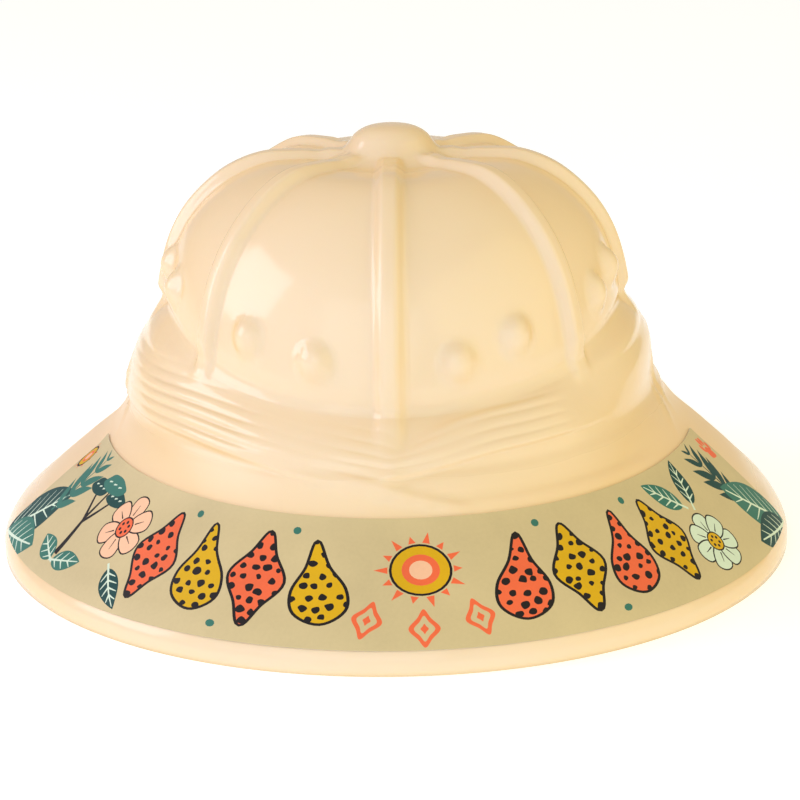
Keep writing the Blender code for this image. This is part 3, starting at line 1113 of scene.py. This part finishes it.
def ink_material(name, colour):
    """Flat ink on smooth board, a little uneven as litho print is."""
    made, shader = principled(name, colour, 0.5)
    tree = made.node_tree
    shades = [tuple(min(part * shade, 1.0) for part in colour) for shade in (0.93, 1.0, 1.06)]
    fine = math_node(tree, "MULTIPLY", noise(tree, scale=900.0), 0.35)
    speckle = math_node(tree, "ADD", noise(tree, scale=45.0), fine)
    tree.links.new(ramp(tree, speckle, 0.35, 0.95, shades), shader.inputs["Base Color"])
    bump(tree, shader, noise(tree, scale=700.0), strength=0.08, distance=0.0002)
    shader.inputs["IOR"].default_value = 1.45
    shader.inputs["Specular IOR Level"].default_value = 0.25
    return made


# Camera, floor and light. The camera turns about a pivot on the hat's axis, which falls on its own pixel.

PIVOT_HEIGHT = 0.0488
CAMERA_DISTANCE = 1.0795
CAMERA_ELEVATION = math.radians(14.55)
CAMERA_YAW = math.radians(-0.94)
CAMERA_ROLL = math.radians(-0.85)
PIVOT_PIXEL = (394.6, 375.2)
PIXELS_A_METRE = 3268.0
FRAME_PIXELS = 800
FLOOR_REACH = 6.0
FLOOR_GLOW = (0.90, 0.97, 1.0, 1.0)
FLOOR_GLOW_STRENGTH = 0.42

# The world's light, from -X to +X.
WORLD_COLOURS = ((1.0, 1.0, 1.03), (1.0, 0.97, 0.92), (1.0, 0.84, 0.46))
WORLD_STRENGTH = 0.59

# Soft panels, with their places and sizes in metres and their energies in watts.
LIGHT_AIM = Vector((0, 0, 0.07))
Light = namedtuple("Light", "name place size energy colour")
LIGHTS = (
    Light("window", (-1.15, -0.02, 0.64), (0.76, 0.78), 5.6, (1.0, 0.84, 1.0)),
    Light("front", (-0.30, -1.45, 0.75), (1.5, 1.3), 4.5, (1.0, 1.0, 1.0)),
    Light("right_fill", (1.05, -0.50, 0.75), (1.7, 1.5), 5.4, (1.0, 0.79, 0.34)),
)


def make_camera():
    """The photograph's view, aimed so that the pivot falls on its pixel."""
    camera = bpy.data.objects.new("camera", bpy.data.cameras.new("camera"))
    bpy.context.scene.collection.objects.link(camera)
    level = CAMERA_DISTANCE * math.cos(CAMERA_ELEVATION)
    place = Vector((
        -level * math.sin(CAMERA_YAW),
        -level * math.cos(CAMERA_YAW),
        PIVOT_HEIGHT + CAMERA_DISTANCE * math.sin(CAMERA_ELEVATION),
    ))
    focal = PIXELS_A_METRE * CAMERA_DISTANCE
    camera.data.sensor_width = 36.0
    camera.data.lens = focal / FRAME_PIXELS * camera.data.sensor_width
    ahead = (Vector((0, 0, PIVOT_HEIGHT)) - place).normalized()
    turn = ahead.to_track_quat("-Z", "Y").to_matrix().to_4x4()
    right = (FRAME_PIXELS / 2 - PIVOT_PIXEL[0]) / focal
    down = (FRAME_PIXELS / 2 - PIVOT_PIXEL[1]) / focal
    aim = Matrix.Rotation(-down, 4, "X") @ Matrix.Rotation(-right, 4, "Y")
    camera.matrix_world = Matrix.Translation(place) @ turn @ aim @ Matrix.Rotation(CAMERA_ROLL, 4, "Z")
    camera.data.clip_start = 0.05
    bpy.context.scene.camera = camera


def make_floor():
    """A pale glowing table, as under a product photograph."""
    corners = [(x * FLOOR_REACH, y * FLOOR_REACH, 0) for x, y in ((-1, -1), (1, -1), (1, 1), (-1, 1))]
    floor = new_object("floor", corners, [(0, 1, 2, 3)])
    made, shader = principled("floor_paint", (0.90, 0.90, 0.90), 0.9)
    shader.inputs["Emission Color"].default_value = FLOOR_GLOW
    shader.inputs["Emission Strength"].default_value = FLOOR_GLOW_STRENGTH
    floor.data.materials.append(made)


def make_world():
    """Even light that is cool from -X and warm from +X, and white to the camera."""
    world = bpy.data.worlds.new("studio")
    world.use_nodes = True
    tree = world.node_tree
    place = tree.nodes.new("ShaderNodeTexCoord")
    parts = tree.nodes.new("ShaderNodeSeparateXYZ")
    tree.links.new(place.outputs["Generated"], parts.inputs["Vector"])
    light = tree.nodes["Background"]
    light.inputs["Strength"].default_value = WORLD_STRENGTH
    tree.links.new(ramp(tree, parts.outputs["X"], -1.0, 1.0, WORLD_COLOURS), light.inputs["Color"])
    seen = tree.nodes.new("ShaderNodeBackground")
    seen.inputs["Color"].default_value = (1.0, 1.0, 1.0, 1.0)
    path = tree.nodes.new("ShaderNodeLightPath")
    either = tree.nodes.new("ShaderNodeMixShader")
    tree.links.new(path.outputs["Is Camera Ray"], either.inputs[0])
    tree.links.new(light.outputs["Background"], either.inputs[1])
    tree.links.new(seen.outputs["Background"], either.inputs[2])
    tree.links.new(either.outputs["Shader"], tree.nodes["World Output"].inputs["Surface"])
    bpy.context.scene.world = world


def make_lights():
    """Soft panels, all aimed at the hat's middle."""
    for light in LIGHTS:
        data = bpy.data.lights.new(light.name, "AREA")
        data.shape = "RECTANGLE"
        data.size, data.size_y = light.size
        data.energy = light.energy
        data.color = light.colour
        panel = bpy.data.objects.new(light.name, data)
        panel.location = light.place
        panel.rotation_euler = (LIGHT_AIM - Vector(light.place)).to_track_quat("-Z", "Y").to_euler()
        bpy.context.scene.collection.objects.link(panel)


make_camera()
shell = make_shell()
shell.data.materials.append(cream_plastic())
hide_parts("shell")
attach(shell, "root")
card = make_card()
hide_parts("brim_label")
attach(card, "root")
make_floor()
make_world()
make_lights()
bpy.context.scene.view_settings.view_transform = "Standard"
